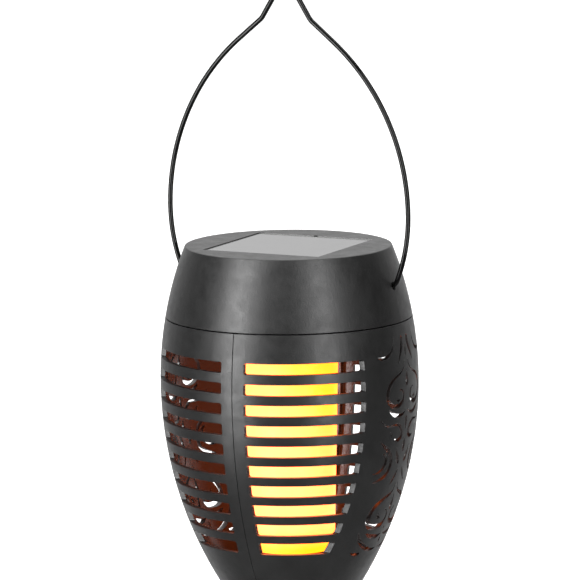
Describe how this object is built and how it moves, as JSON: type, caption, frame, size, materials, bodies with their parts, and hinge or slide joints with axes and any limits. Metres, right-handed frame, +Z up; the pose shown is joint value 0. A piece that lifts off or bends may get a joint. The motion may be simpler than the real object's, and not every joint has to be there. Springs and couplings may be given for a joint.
{
  "type": "solar garden light",
  "caption": "Hanging solar lantern: barrel cage with slats and scrolls, lit flame tube, twist-off head with square solar panel, wire bail.",
  "frame": {"origin": "centre of the base's underside, on the lantern's axis", "axes": "+Z up along the lantern's axis, X along the bail's pivots, Y through the seams of the cage"},
  "size_m": [0.1276, 0.123, 0.2953],
  "materials": {
    "black_plastic": "satin moulded, charcoal black",
    "black_wire": "semi-gloss black coating on steel wire",
    "diffuser": "translucent, lit from inside",
    "led_lens": "lit chip",
    "white_plastic": "moulded",
    "flex_film": "white-coated film",
    "green_board": "solder mask",
    "black_chip": "moulded epoxy",
    "copper_coil": "enamelled copper",
    "metal_can": "drawn can",
    "screw_steel": "zinc plated",
    "contact_nickel": "nickel plated",
    "cell_wrap": "steel can in a plain green sleeve",
    "seal_rubber": "soft",
    "solar_silicon": "coated silicon",
    "ribbon_tin": "tinned ribbon",
    "clear_resin": "clear epoxy",
    "red_sleeve": "insulated lead",
    "black_sleeve": "insulated lead",
    "button_rubber": "moulded"
  },
  "bodies": {
    "cage": {"cage_half_right": "black_plastic", "cage_half_left": "black_plastic", "locking_collar": "black_plastic", "base_plate": "black_plastic", "base_screws": "screw_steel"},
    "head": {"cap_shell": "black_plastic", "panel_gasket": "seal_rubber", "solar_board": "green_board", "solar_cells": "solar_silicon", "cell_ribbons": "ribbon_tin", "panel_resin": "clear_resin", "head_base": "black_plastic", "head_seal": "seal_rubber", "head_screws": "screw_steel", "control_board": "green_board", "driver_chip": "black_chip", "boost_coil": "copper_coil", "storage_capacitor": "metal_can", "chip_resistors": "black_chip", "board_connectors": "white_plastic", "board_screws": "screw_steel", "power_switch": "black_chip", "battery_holder": "black_plastic", "battery_cell": "cell_wrap", "battery_contact_plus": "contact_nickel", "battery_contact_spring": "contact_nickel", "panel_lead_red": "red_sleeve", "panel_lead_black": "black_sleeve", "battery_lead_red": "red_sleeve", "battery_lead_black": "black_sleeve", "led_lead_red": "red_sleeve", "led_lead_black": "black_sleeve", "led_core": "white_plastic", "core_screws": "screw_steel", "led_flex_board": "flex_film", "flame_leds": "led_lens", "flame_tube": "diffuser", "tube_end_cap": "black_plastic"},
    "button": {"power_button": "button_rubber"},
    "bail": {"bail_wire": "black_wire"}
  },
  "joints": [
    {"name": "head_twist", "type": "hinge", "parent": "cage", "child": "head", "pos_m": [0, 0, 0.131], "axis": [0, 0, 1], "range_deg": [0, 18]},
    {"name": "bail_swing", "type": "hinge", "parent": "head", "child": "bail", "pos_m": [0, 0, 0.1536], "axis": [1, 0, 0], "range_deg": [-150, 150]},
    {"name": "button_press", "type": "slide", "parent": "head", "child": "button", "axis": [0, 0, 1], "range_m": [0, 0.0012], "stiffness_N_per_m": 800}
  ]
}
